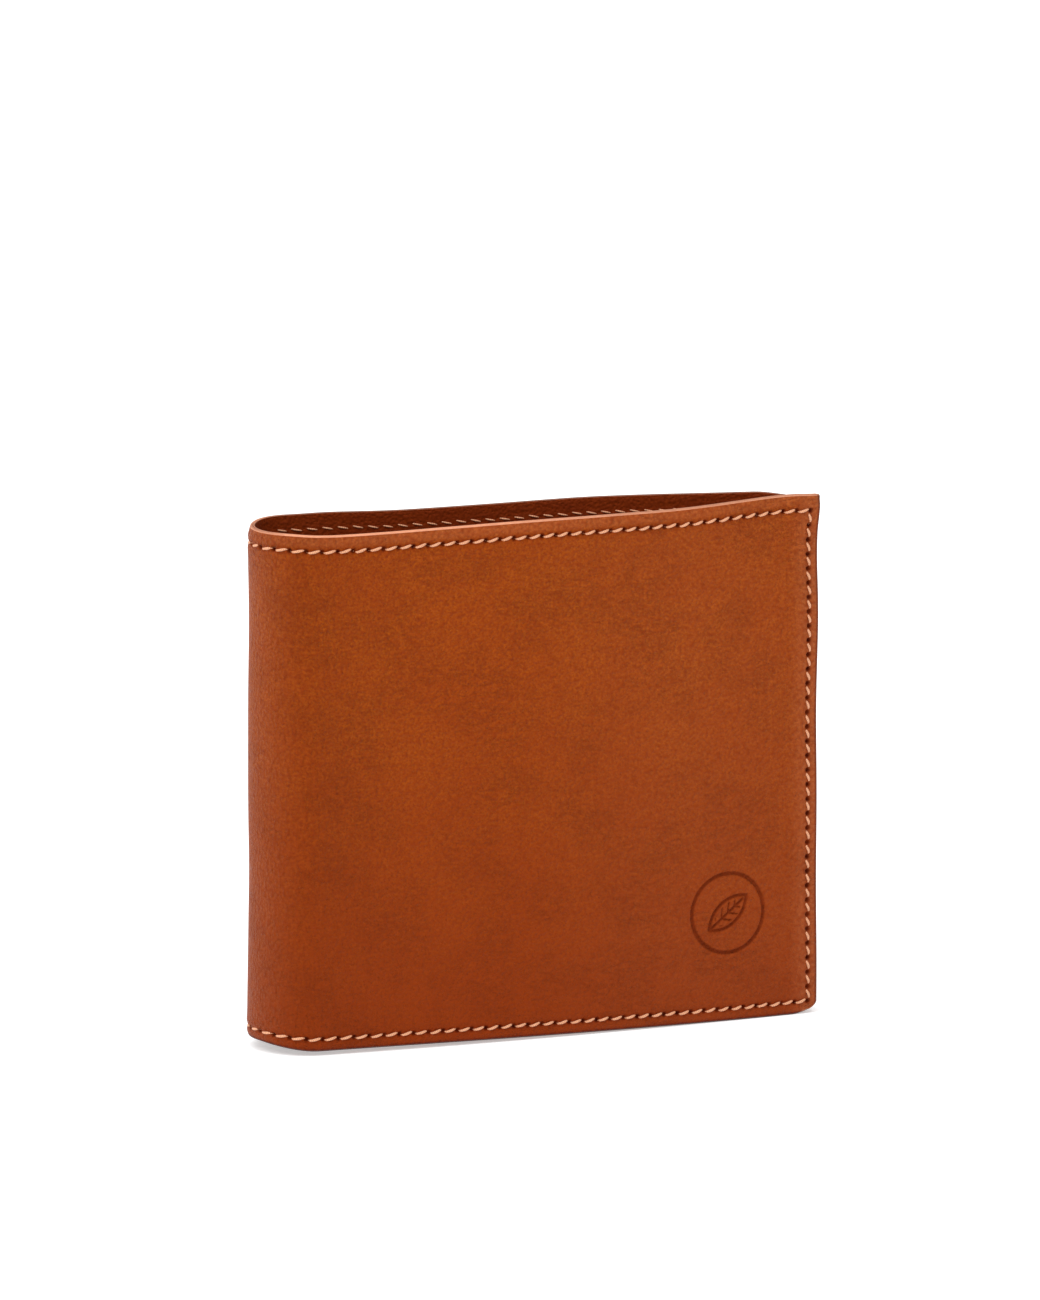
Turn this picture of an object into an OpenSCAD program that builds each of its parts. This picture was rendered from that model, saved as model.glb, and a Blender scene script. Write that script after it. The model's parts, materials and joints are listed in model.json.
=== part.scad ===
// Bifold wallet, closed and standing on its bottom edge.
// The fold (spine) is at -X, the open edge at +X, the back half at +Y, the front half at -Y.
// The origin is the centre of the footprint, at the bottom edge.

/* [Closed size] */
// Width, from the outside of the fold to the open edge
wallet_w = 108; // [104:1:116]
// Height
wallet_h = 95.5; // [92:0.5:104]
// Thickness across the fold
fold_t = 20.6; // [18:0.2:24]
// Thickness at the open edge
edge_t = 5.6; // [5.6:0.1:8]
// Radius of the lower free corners
corner_r = 3.5; // [2:0.5:8]

/* [Leather thickness] */
// Outer cover
cover_t = 1.0; // [0.8:0.05:1]
// Lining glued inside the cover
lining_t = 0.25; // [0.2:0.05:0.25]
// Divider between the bill compartment and the card pockets
divider_t = 0.3; // [0.2:0.05:0.3]
// Panel that carries the card pockets
backing_t = 0.3; // [0.2:0.05:0.3]
// Each card pocket
pocket_t = 0.45; // [0.3:0.05:0.45]

/* [Bill compartment] */
// Widest gap between the lining and the divider
bill_gap = 1.6; // [0.5:0.1:2.2]
// How far the divider stops below the top edge of the cover
divider_drop = 6; // [4:0.5:10]

/* [Card pockets] */
// Width of a card, which the pockets have to take
card_w = 85.6; // [85.6:0.1:86]
// Height of the highest pocket mouth
first_mouth_z = 77; // [72:1:80]
// Step from one pocket mouth down to the next
mouth_step = 11; // [8:0.5:12]
// Depth of a pocket below its mouth
pocket_depth = 46; // [42:1:50]

/* [Stitching] */
// Distance from one needle hole to the next
stitch_pitch = 2.67; // [2.4:0.01:4]
// Thickness of the thread
thread_d = 0.6; // [0.4:0.05:0.6]
// Slant of a stitch across its seam, in degrees
slant = 9; // [0:1:14]
// Seam distance from the top edge
top_margin = 2.9; // [2:0.1:3.5]
// Seam distance from the bottom edge
bottom_margin = 2.3; // [2:0.1:3.5]
// Seam distance from the open edge
side_margin = 2.0; // [1.8:0.1:3]

/* [Hidden] */
POCKETS = 4;
HALVES = ["back", "front"];
HALF_PIECES = ["cover", "lining", "divider", "pocket_backing", "edge_thread", "pocket_thread"];
SPINE_PIECES = ["cover", "lining", "divider", "edge_thread"];

COVER_COLOR = [0.66, 0.30, 0.11];
LINING_COLOR = [0.60, 0.33, 0.17];
POCKET_COLOR = [0.63, 0.29, 0.11];
THREAD_COLOR = [0.86, 0.70, 0.52];

DEG = 180 / PI;
ply = 0.02;          // air between two plies, so that no two solids share a face
hinge_gap = 0.3;     // between the spine pieces and the halves, along the cover
row_gap = 0.4;       // from the end of a row of stitches to the end of its ply at a hinge
fold_slack = 0.35;   // play of the divider inside the lining, round the fold
wall_step = 6;       // longest flat of an outline on a wall
fold_step = 5;       // degrees that one flat takes up round the fold
fold_s = -1;         // a station round the fold, where the plies keep one depth
spare = 1;           // how far a cutting shape reaches past what it cuts

// Plan of the closed wallet: a half circle at the fold, and a slightly bowed wall on each side.
fold_r = fold_t / 2;
fold_x = -wallet_w / 2 + fold_r;
wall_run = wallet_w - fold_r;
wall_fall = fold_r - edge_t / 2;
wall_r = (wall_run * wall_run + wall_fall * wall_fall) / (2 * wall_fall);
wall_len = wall_r * atan2(wall_run, wall_r - wall_fall) / DEG;
hinge_s = -fold_r * 45 / DEG;

// Card pockets, measured along the wall from the fold.
card_play = 3.8;     // how much wider than a card a pocket is, from seam to seam
seam_inset = 2;      // from the fold side of a pocket to its seam
backing_lap = 2.5;   // how far the pocket panel reaches past the pockets, towards the fold
fold_wing = 8;       // width of a pocket's thin wing on the fold side, where pockets don't stack
edge_wing = 14;      // the same on the side of the open edge, where the walls come together
hem = 4.6;           // height of the turned hem that closes a compartment at the bottom
mouth_gap = 0.5;     // from the highest pocket mouth to the first stitch below it
foot_seam_z = 1.5;   // seam height above the foot of a T-shaped pocket
foot_seam_inset = 1; // from the sides of a T-shaped pocket's body to the ends of that seam
foot_bite = 0.1;     // how deep that seam's stitches sit in the pocket
backing_clear = 2;   // how far past the panel's edge the inner stitches step down to the panel

pocket_end = wall_len - side_margin;
pocket_seam = pocket_end - card_w - card_play;
pocket_start = pocket_seam - seam_inset;
backing_start = pocket_start - backing_lap;
body_start = pocket_start + fold_wing;
body_end = wall_len - edge_wing;

divider_top = wallet_h - divider_drop;
function mouth_z(k) = first_mouth_z - (k - 1) * mouth_step;
function foot_z(k) = k == POCKETS ? 0 : mouth_z(k) - pocket_depth;

// A point of the back half in plan: s along the outer face from the start of the wall
// (negative round the fold), n inward from the outer face.
function at(s, n) = s >= 0
    ? let (a = s / wall_r * DEG)
      [fold_x + (wall_r - n) * sin(a), fold_r - wall_r + (wall_r - n) * cos(a)]
    : let (a = -s / fold_r * DEG)
      [fold_x - (fold_r - n) * sin(a), (fold_r - n) * cos(a)];
function at3(s, n, z) = let (p = at(s, n)) [p[0], p[1], z];

// Stations from the first to the last of a list of breaks, close enough for the curve.
function longest(s) = s < 0 ? fold_r * fold_step / DEG : wall_step;
function steps(a, b) = max(1, ceil(abs(b - a) / longest(a)));
function stations(breaks) = [
    for (i = [0:len(breaks) - 2])
        let (a = breaks[i], b = breaks[i + 1], m = steps(a, b))
            for (j = [0:m - 1]) a + (b - a) * j / m,
    breaks[len(breaks) - 1]
];

// Depth of the outer face of each ply below the outer face of the cover.
function standoff(s) = let (u = min(1, max(0, s / wall_len)))
    fold_slack * (1 - u) + bill_gap * pow(sin(180 * u), 2);
function lining_n() = cover_t + ply;
function divider_n(s) = lining_n() + lining_t + ply + standoff(s);
function backing_n(s) = divider_n(s) + divider_t + ply;
function stack(s) =
    min(1, max(0, min((s - pocket_start) / fold_wing, (wall_len - s) / edge_wing)));
function pocket_n(s, k) =
    backing_n(s) + backing_t + ply + (k - 1) * (pocket_t + ply) * stack(s);

// Flat outline of a ply between two depths, given at each station.
module ply_outline(ss, outer, inner) {
    polygon(concat(
        [for (i = [0:len(ss) - 1]) at(ss[i], outer[i])],
        [for (i = [len(ss) - 1:-1:0]) at(ss[i], inner[i])]));
}

// Everything above the bottom edge and inside the rounded lower free corner.
module corner_trim() {
    far = wallet_w;
    rotate([90, 0, 0])
        linear_extrude(4 * fold_t, center = true)
            difference() {
                translate([-far, -spare])
                    square([far + wallet_w / 2 + spare, wallet_h + 2 * spare]);
                difference() {
                    translate([wallet_w / 2 - corner_r, -2 * spare])
                        square([corner_r + 2 * spare, corner_r + 2 * spare]);
                    translate([wallet_w / 2 - corner_r, corner_r])
                        circle(corner_r, $fn = 48);
                }
            }
}

module band(ss, outer, inner, z0, z1) {
    translate([0, 0, z0])
        linear_extrude(z1 - z0)
            ply_outline(ss, outer, inner);
}

// One straight stitch between two points.
module stitch(p, q) {
    d = q - p;
    translate(p)
        rotate([0, acos(d[2] / norm(d)), atan2(d[1], d[0])])
            cylinder(h = norm(d), d = thread_d, $fn = 16);
}

STITCH_SHARE = 0.78;   // share of the pitch that a stitch shows
sunk = 0.45;           // how deep a stitch is pulled into the leather
outer_thread_n = sunk - thread_d / 2;

// Row of stitches along s at one height; lean is +1 where a stitch rises with s.
module level_row(s0, s1, z, n_of_s, lean) {
    count = round((s1 - s0) / stitch_pitch);
    pitch = (s1 - s0) / count;
    half = pitch * STITCH_SHARE / 2;
    for (i = [0:count - 1]) {
        s = s0 + (i + 0.5) * pitch;
        rise = half * tan(slant) * lean;
        n = n_of_s(s);
        stitch(at3(s - half, n, z - rise), at3(s + half, n, z + rise));
    }
}

// Row of stitches up a wall at one station; lean is +1 where a stitch moves back as it rises.
module upright_row(s, z0, z1, n_of_z, lean) {
    count = round((z1 - z0) / stitch_pitch);
    pitch = (z1 - z0) / count;
    half = pitch * STITCH_SHARE / 2;
    for (i = [0:count - 1]) {
        z = z0 + (i + 0.5) * pitch;
        shift = half * tan(slant) * lean;
        n = n_of_z(z);
        stitch(at3(s + shift, n, z - half), at3(s - shift, n, z + half));
    }
}

// ---- pieces of one half, drawn as the back half ----

half_start = hinge_s + hinge_gap / 2;
seam_s = wall_len - side_margin;
seam_top = wallet_h - top_margin;

module half_cover() {
    ss = stations([half_start, 0, wall_len]);
    color(COVER_COLOR)
        intersection() {
            band(ss, [for (s = ss) 0], [for (s = ss) cover_t], 0, wallet_h);
            corner_trim();
        }
}

module half_lining() {
    ss = stations([half_start, 0, wall_len]);
    color(LINING_COLOR)
        intersection() {
            band(ss, [for (s = ss) lining_n()], [for (s = ss) lining_n() + lining_t], 0, wallet_h);
            corner_trim();
        }
}

// The divider's hem reaches out to the lining and closes the bill compartment.
module half_divider() {
    ss = stations([half_start, 0, wall_len]);
    inner = [for (s = ss) divider_n(s) + divider_t];
    color(LINING_COLOR)
        intersection() {
            union() {
                band(ss, [for (s = ss) divider_n(s)], inner, 0, divider_top);
                band(ss, [for (s = ss) lining_n() + lining_t + ply], inner, 0, hem);
            }
            corner_trim();
        }
}

module half_pocket_backing() {
    ss = stations([backing_start, wall_len]);
    color(POCKET_COLOR)
        intersection() {
            band(ss, [for (s = ss) backing_n(s)], [for (s = ss) backing_n(s) + backing_t],
                 0, divider_top);
            corner_trim();
        }
}

// A card pocket is T-shaped: a strip as wide as the panel, caught in both side seams, and a
// narrower body that hangs behind the next pocket. The last one runs down to the bottom hem.
module half_card_pocket(k) {
    ss = stations([pocket_start, body_start, body_end, wall_len]);
    outer = [for (s = ss) pocket_n(s, k)];
    inner = [for (s = ss) pocket_n(s, k) + pocket_t];
    middle = [for (i = [0:len(ss) - 1]) if (ss[i] >= body_start && ss[i] <= body_end) i];
    last = k == POCKETS;
    color(POCKET_COLOR)
        if (last)
            intersection() {
                union() {
                    band(ss, outer, inner, 0, mouth_z(k));
                    band(ss, [for (s = ss) pocket_n(s, 1)], inner, 0, hem);
                }
                corner_trim();
            }
        else
            union() {
                band(ss, outer, inner, mouth_z(k + 1), mouth_z(k));
                band([for (i = middle) ss[i]], [for (i = middle) outer[i]],
                     [for (i = middle) inner[i]], foot_z(k), mouth_z(k));
            }
}

// Depth of a stitch's centre line on the inner face, at a height and a station.
function inner_face(s, z) =
    z > divider_top ? lining_n() + lining_t
    : z > mouth_z(1) || s < pocket_start ? backing_n(s) + backing_t
    : let (over = [for (k = [1:POCKETS]) if (z <= mouth_z(k)) k])
      pocket_n(s, over[len(over) - 1]) + pocket_t;
function inner_thread_n(s, z) = inner_face(s, z) - sunk + thread_d / 2;
function fold_inner_n(z) =
    (z > divider_top ? lining_n() + lining_t : divider_n(fold_s) + divider_t)
    - sunk + thread_d / 2;

// The seam round the free edges of a half, with the stitches of both faces.
module half_edge_thread(lean) {
    outer = function (x) outer_thread_n;
    row_start = half_start + row_gap;
    step_down = backing_start + backing_clear;
    color(THREAD_COLOR) {
        for (z = [bottom_margin, seam_top]) {
            level_row(row_start, seam_s, z, outer, lean);
            level_row(row_start, seam_s, z,
                      function (s) s < step_down ? fold_inner_n(z) : inner_thread_n(s, z), lean);
        }
        upright_row(seam_s, bottom_margin, seam_top, outer, lean);
        upright_row(seam_s, bottom_margin, seam_top, function (z) inner_thread_n(seam_s, z), lean);
    }
}

// The seam that closes the pockets on the fold side, and the foot of each T-shaped pocket.
module half_pocket_thread(lean) {
    color(THREAD_COLOR) {
        upright_row(pocket_seam, bottom_margin + stitch_pitch, mouth_z(1) - mouth_gap,
                    function (z) inner_thread_n(pocket_seam, z), lean);
        for (k = [1:POCKETS - 1])
            level_row(body_start + foot_seam_inset, body_end - foot_seam_inset,
                      foot_z(k) + foot_seam_z,
                      function (s) pocket_n(s, k) + thread_d / 2 - foot_bite, lean);
    }
}

// ---- pieces of the spine ----

spine_start = hinge_s - hinge_gap / 2;
spine_end = -fold_r * 135 / DEG + hinge_gap / 2;

module spine_band(n, t, z1) {
    ss = stations([spine_end, spine_start]);
    band(ss, [for (s = ss) n], [for (s = ss) n + t], 0, z1);
}

module spine_cover() {
    color(COVER_COLOR) spine_band(0, cover_t, wallet_h);
}

module spine_lining() {
    color(LINING_COLOR) spine_band(lining_n(), lining_t, wallet_h);
}

module spine_divider() {
    color(LINING_COLOR) spine_band(divider_n(fold_s), divider_t, divider_top);
}

module spine_edge_thread() {
    color(THREAD_COLOR)
        for (z = [bottom_margin, seam_top]) {
            level_row(spine_end + row_gap, spine_start - row_gap, z,
                      function (s) outer_thread_n, -1);
            level_row(spine_end + row_gap, spine_start - row_gap, z,
                      function (s) fold_inner_n(z), -1);
        }
}

// A half is drawn at +Y for the back, and mirrored for the front.
module half(h) {
    mirror([0, h == "front" ? 1 : 0, 0]) children();
}

for (h = HALVES) {
    lean = h == "front" ? 1 : -1;
    half(h) half_cover();
    half(h) half_lining();
    half(h) half_divider();
    half(h) half_pocket_backing();
    half(h) half_edge_thread(lean);
    half(h) half_pocket_thread(lean);
    for (k = [1:POCKETS])
        half(h) half_card_pocket(k);
}
spine_cover();
spine_lining();
spine_divider();
spine_edge_thread();
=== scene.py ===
"""Leather bifold wallet, closed and standing on its bottom edge.

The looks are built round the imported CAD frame. Every leather ply is a closed mesh laid out on the
unrolled cover: u runs along the leather from the middle of the fold to the open edge, z runs up,
and n is the depth below the outer face of the cover. side is 1 for the back half and -1 for the
front half. Lengths are in millimetres, and place() turns them into metres in the CAD frame.
"""
import json
import math
import random
from collections import namedtuple

import bpy
import numpy as np
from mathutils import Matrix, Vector


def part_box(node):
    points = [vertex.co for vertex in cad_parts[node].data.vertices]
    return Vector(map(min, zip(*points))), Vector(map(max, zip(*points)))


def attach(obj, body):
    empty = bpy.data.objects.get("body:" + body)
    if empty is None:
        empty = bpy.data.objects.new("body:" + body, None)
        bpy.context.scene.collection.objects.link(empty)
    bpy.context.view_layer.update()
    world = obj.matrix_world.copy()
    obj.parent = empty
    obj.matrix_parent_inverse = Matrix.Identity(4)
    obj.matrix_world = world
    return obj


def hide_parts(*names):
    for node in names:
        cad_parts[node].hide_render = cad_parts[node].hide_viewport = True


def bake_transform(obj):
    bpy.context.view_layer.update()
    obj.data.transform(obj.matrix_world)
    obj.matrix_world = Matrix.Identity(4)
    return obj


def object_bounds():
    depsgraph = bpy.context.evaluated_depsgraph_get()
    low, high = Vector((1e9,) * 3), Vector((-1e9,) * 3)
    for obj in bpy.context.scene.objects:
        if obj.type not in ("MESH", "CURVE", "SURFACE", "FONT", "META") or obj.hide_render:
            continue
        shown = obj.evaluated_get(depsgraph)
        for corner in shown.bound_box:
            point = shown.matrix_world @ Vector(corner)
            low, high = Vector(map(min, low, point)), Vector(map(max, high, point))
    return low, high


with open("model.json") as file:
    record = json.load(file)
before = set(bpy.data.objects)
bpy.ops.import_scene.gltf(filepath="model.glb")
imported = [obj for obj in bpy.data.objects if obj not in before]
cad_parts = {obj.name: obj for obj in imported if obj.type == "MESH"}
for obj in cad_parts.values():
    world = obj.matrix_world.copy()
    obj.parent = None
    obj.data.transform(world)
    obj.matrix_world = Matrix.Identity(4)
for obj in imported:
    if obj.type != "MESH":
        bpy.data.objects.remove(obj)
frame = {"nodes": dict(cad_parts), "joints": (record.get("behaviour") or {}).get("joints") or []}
cad_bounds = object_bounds()

MM = 0.001
rng = random.Random(7)

# ---------------------------------------------------------------- sizes read from the frame

HINGE = {j["name"]: j for j in frame["joints"]}["fold_back"]["pos_m"]
FOLD_R = HINGE[1] * math.sqrt(2) / MM
FOLD_X = (HINGE[0] + HINGE[1]) / MM
HEIGHT = cad_bounds[1].z / MM
OPEN_CORNER = max((v.co for v in frame["nodes"]["back_cover"].data.vertices), key=lambda c: c.x) / MM
RUN = OPEN_CORNER.x - FOLD_X
FALL = FOLD_R - OPEN_CORNER.y
WALL_R = (RUN**2 + FALL**2) / (2 * FALL)
WALL_LEN = WALL_R * math.atan2(RUN, WALL_R - FALL)
FOLD_LEN = FOLD_R * math.pi / 2
GIRTH = FOLD_LEN + WALL_LEN  # middle of the fold to the open edge
DIVIDER_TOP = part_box("back_divider")[1].z / MM
MOUTHS = [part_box(f"back_card_pocket_{k}")[1].z / MM for k in (1, 2, 3, 4)]
FEET = [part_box(f"back_card_pocket_{k}")[0].z / MM for k in (1, 2, 3, 4)]

# ---------------------------------------------------------------- leather sizes

HALVES = {"back": 1, "front": -1}

COVER_T = 1.0
LINING_T = 0.25
DIVIDER_T = 0.3
BACKING_T = 0.3
POCKET_T = 0.45
PLY = 0.02  # air between two plies
COVER_BEVEL = 0.28
LINING_BEVEL = 0.1
PANEL_BEVEL = 0.12
POCKET_BEVEL = 0.16

FOLD_SLACK = 0.35  # gap between lining and divider round the fold
BILL_GAP = 1.6  # widest part of the bill compartment
FREE_CORNER = (5.0, 2.1)  # bottom corner at the open edge, along u and along z
SHARP_CORNER = (0.4, 0.4)  # top corner
CORNER_POWER = 1.6  # 2 is an ellipse, 1 a straight cut

POCKET_START = FOLD_LEN + 4.7
POCKET_SEAM = POCKET_START + 2.0
BACKING_START = POCKET_START - 2.5
FOLD_WING = 8.0  # width of a pocket's side wing towards the fold
EDGE_WING = 14.0  # and towards the open edge
WING_CLEAR = 0.3  # how much further in the body of a T-shaped pocket is cut

# ---------------------------------------------------------------- seam and thread sizes

TOP_MARGIN = 2.9
BOTTOM_MARGIN = 2.3
SIDE_MARGIN = 2.0
PITCH = 2.67
FOLD_STRETCH = 0.24  # share by which the stitches are sparser at the fold
STRETCH_LEN = 24.0  # how far from the fold that takes to fade
SEAM_U = GIRTH - SIDE_MARGIN
SEAM_TOP = HEIGHT - TOP_MARGIN

THREAD_W = 0.48
THREAD_T = 0.40
INNER_THREAD = 0.66  # width of the inner stitches, as a share of THREAD_W
STITCH_SINK = 0.62  # depth of a stitch's ends
STITCH_PROUD = 0.10  # height of its middle, as a share of THREAD_T
STITCH_PRESS = 0.16  # how far the fold presses the stitches in
STITCH_SLANT = 0.30
STITCH_JITTER = 0.05  # unevenness of slant, place and height
STITCH_TWIST = 5.5  # turn of the two plies over one stitch, in radians
STITCH_RINGS = 13
STITCH_SPOKES = 12
LEVEL_GAP = 0.36  # from needle hole to thread, on the outer face
UPRIGHT_GAP = 0.55
INNER_GAP = 0.12

MARK_U = GIRTH - 18.6  # the pressed mark: its place, and the radius of its ring
MARK_Z = 20.0
MARK_R = 7.3


def fade(value, start, end):
    """0 up to start, 1 from end on, smooth between; it falls with value when end is the smaller."""
    t = np.clip((value - start) / (end - start), 0, 1)
    return t * t * (3 - 2 * t)


def bell(distance, width):
    return np.exp(-((distance / width) ** 2))


# ---------------------------------------------------------------- shape of the closed wallet


def plan(u, n):
    """Plan of the back half: a half circle of fold, then a wall that bows in to the open edge."""
    s = u - FOLD_LEN
    wall = s / WALL_R
    fold = -s / FOLD_R
    x = np.where(s >= 0, FOLD_X + (WALL_R - n) * np.sin(wall), FOLD_X - (FOLD_R - n) * np.sin(fold))
    y = np.where(s >= 0, FOLD_R - WALL_R + (WALL_R - n) * np.cos(wall), (FOLD_R - n) * np.cos(fold))
    return x, y


def waves(u, z):
    """Slow undulation of the whole wall, from -1 to 1, still at the fold's middle line."""
    broad = np.sin(u / 17.0 + 0.6) * np.sin(z / 23.0 + 0.4)
    slanted = 0.5 * np.sin(u / 9.5 - z / 15.0 + 1.9)
    return (broad + slanted) / 1.5 * fade(u, 0, 12)


def lean(u, z, side):
    """How far a wall stands inward of its plain bowed shape: the open top corners lean together."""
    top_corner = fade(u, GIRTH - 34, GIRTH) * fade(z, 52, 92)
    ripple = 0.16 * waves(u, z)
    if side > 0:
        rim = fade(u, GIRTH - 30, GIRTH - 2) * fade(z, 72, 94)
        return 0.55 * top_corner + 1.5 * rim - ripple
    tip = fade(u, GIRTH - 10, GIRTH) * fade(z, 52, 92)
    return -0.2 * top_corner - 0.9 * tip - ripple


def top_rise(u, side):
    """How far the top edge stands above its plain height: the cut of the leather isn't quite straight."""
    rise = 0.42 * fade(u, 20, 8) + 0.05 * np.sin(u / 5.3) * fade(u, 0, 10)
    if side > 0:
        rise = rise + 0.68 * bell(u - 22, 12) * fade(u, 0, 8) + 0.72 * fade(u, 30, 75)
        return rise - 1.2 * fade(u, GIRTH - 11, GIRTH)
    rise = rise + 0.25 * bell(u - 57, 13) + 0.8 * fade(u, GIRTH - 34, GIRTH - 4)
    return rise - 0.2 * fade(u, GIRTH - 6, GIRTH)


def raised(u, z, side):
    """How far a point stands above its plain height; the foot lifts towards the fold."""
    foot = 0.80 * fade(u, 113, 13)
    fold_foot = 1.3 * fade(u, 15.5, 2) * fade(z, 6.5, 0)
    share = z / HEIGHT
    return top_rise(u, side) * share + foot * (1 - share) + fold_foot


def flare(u, z):
    """How far the open edge stands out: most at the top corner, and it wavers below."""
    out = 0.3 * fade(z, 88, 94) - 0.42 - 0.40 * bell(z - 85, 8) + 0.06 * np.sin(z / 5.1)
    return out * fade(u, GIRTH - 22, GIRTH)


def fold_sway(u, z):
    """How far the fold is pressed in along its height."""
    sway = 0.22 * bell(z - 78, 10) + 0.2 * bell(z - 32, 8) - 0.28 * fade(z, 22, 0)
    return sway * fade(u, 15, 0)


def place(u, z, n, side):
    """Points in the CAD frame, in metres."""
    x, y = plan(u + flare(u, z), n + lean(u, z, side) + fold_sway(u, z))
    return np.column_stack([x, side * y, z + raised(u, z, side)]) * MM


def round_corner(u, z, corner, level, up):
    """Draws in the square corner that lies above level (up = 1) or below it (up = -1)."""
    wide, high = corner
    du = (u - (GIRTH - wide)) / wide
    dz = up * (z - level) / high
    inside = (du > 0) & (dz > 0)
    across = np.clip(du, 1e-9, None) ** CORNER_POWER + np.clip(dz, 1e-9, None) ** CORNER_POWER
    scale = np.where(inside, np.maximum(du, dz) / across ** (1 / CORNER_POWER), 1.0)
    u = np.where(inside, GIRTH - wide + wide * du * scale, u)
    z = np.where(inside, level + up * high * dz * scale, z)
    return u, z


def rounded(u, z, z_top):
    """Rounds both corners of a sheet at its free edge."""
    u, z = round_corner(u, z, FREE_CORNER, FREE_CORNER[1], -1)
    return round_corner(u, z, SHARP_CORNER, z_top - SHARP_CORNER[1], 1)


# ---------------------------------------------------------------- depths of the plies


def cover_n(u, z):
    return np.zeros_like(u)


def lining_n(u, z):
    return np.full_like(u, COVER_T + PLY)


def standoff(u, z):
    """Gap of the bill compartment; it closes at the open edge and at the bottom seam."""
    s = np.clip((u - FOLD_LEN) / WALL_LEN, 0, 1)
    gap = FOLD_SLACK * (1 - s) + BILL_GAP * np.sin(math.pi * s) ** 2
    return gap * fade(z, 1.5, 15.5)


def divider_n(u, z):
    return COVER_T + LINING_T + 2 * PLY + standoff(u, z)


def backing_n(u, z):
    return divider_n(u, z) + DIVIDER_T + PLY


def stack(u):
    """0 at the sides of a pocket, where its wings lie flat, and 1 where the pockets stack."""
    by_fold = fade(u, POCKET_START, POCKET_START + FOLD_WING)
    return np.minimum(by_fold, fade(u, GIRTH, GIRTH - EDGE_WING))


def pocket_n(u, z, k):
    """Depth of card pocket k (1 is the highest); the lowest one turns in to the bottom seam."""
    under = (k - 1) * (POCKET_T + PLY) * stack(u)
    if k == len(MOUTHS):
        under = under * fade(z, 1.5, 8.5)
    return backing_n(u, z) + BACKING_T + PLY + under


def innermost_n(u, z):
    """Depth of the face that is seen from inside the open wallet."""
    face = np.where(z > DIVIDER_TOP, COVER_T + PLY + LINING_T, divider_n(u, z) + DIVIDER_T)
    face = np.where((z <= DIVIDER_TOP) & (u > BACKING_START), backing_n(u, z) + BACKING_T, face)
    for k, mouth in enumerate(MOUTHS, start=1):
        face = np.where((z <= mouth) & (u > POCKET_START), pocket_n(u, z, k) + POCKET_T, face)
    return face


# ---------------------------------------------------------------- needle holes


def stitches_to(u):
    """Number of stitches from the middle of the fold to u; they are longer near the fold."""
    return (u - FOLD_STRETCH * STRETCH_LEN * (1 - np.exp(-u / STRETCH_LEN))) / PITCH


LEVEL_COUNT = round(stitches_to(SEAM_U))
LEVEL_U = np.linspace(0, SEAM_U, 500)
LEVEL_INDEX = stitches_to(LEVEL_U) * LEVEL_COUNT / stitches_to(SEAM_U)


def level_holes(z):
    """Needle holes of a level row, from the middle of the fold to the corner of the seam."""
    return [(float(u), z) for u in np.interp(range(LEVEL_COUNT + 1), LEVEL_INDEX, LEVEL_U)]


def upright_holes(u, z0, z1):
    count = round((z1 - z0) / PITCH)
    return [(u, z0 + (z1 - z0) * i / count) for i in range(count + 1)]


TOP_HOLES = level_holes(SEAM_TOP)
BOTTOM_HOLES = level_holes(BOTTOM_MARGIN)
SIDE_HOLES = upright_holes(SEAM_U, BOTTOM_MARGIN, SEAM_TOP)
POCKET_HOLES = upright_holes(POCKET_SEAM, BOTTOM_MARGIN + PITCH, MOUTHS[0] - 0.8)


def row_distance(u, z):
    """Distance from the perimeter seam."""
    along = np.maximum(u - SEAM_U, 0)
    top = np.hypot(z - SEAM_TOP, along)
    bottom = np.hypot(z - BOTTOM_MARGIN, along)
    beyond = np.maximum(np.maximum(z - SEAM_TOP, BOTTOM_MARGIN - z), 0)
    side = np.hypot(u - SEAM_U, beyond)
    return np.minimum(np.minimum(top, bottom), side)


def hole_distance(u, z):
    """Distance from the nearest needle hole of the perimeter seam."""
    level_index = np.round(np.interp(u, LEVEL_U, LEVEL_INDEX))
    du = u - np.interp(level_index, LEVEL_INDEX, LEVEL_U)
    side_pitch = SIDE_HOLES[1][1] - SIDE_HOLES[0][1]
    side_index = np.clip(np.round((z - BOTTOM_MARGIN) / side_pitch), 0, len(SIDE_HOLES) - 1)
    dz = z - BOTTOM_MARGIN - side_index * side_pitch
    top = np.hypot(du, z - SEAM_TOP)
    bottom = np.hypot(du, z - BOTTOM_MARGIN)
    side = np.hypot(u - SEAM_U, dz)
    return np.minimum(np.minimum(top, bottom), side)


# ---------------------------------------------------------------- stitches

# A row of stitches: its needle holes, the depth of the face it lies on, whether that is the outer
# face, the way its stitches slant (1 or -1), and the gap from a hole to the thread.
Row = namedtuple("Row", "holes depth outer slant gap")


def unit(vectors):
    return vectors / np.linalg.norm(vectors, axis=1)[:, None]


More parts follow.
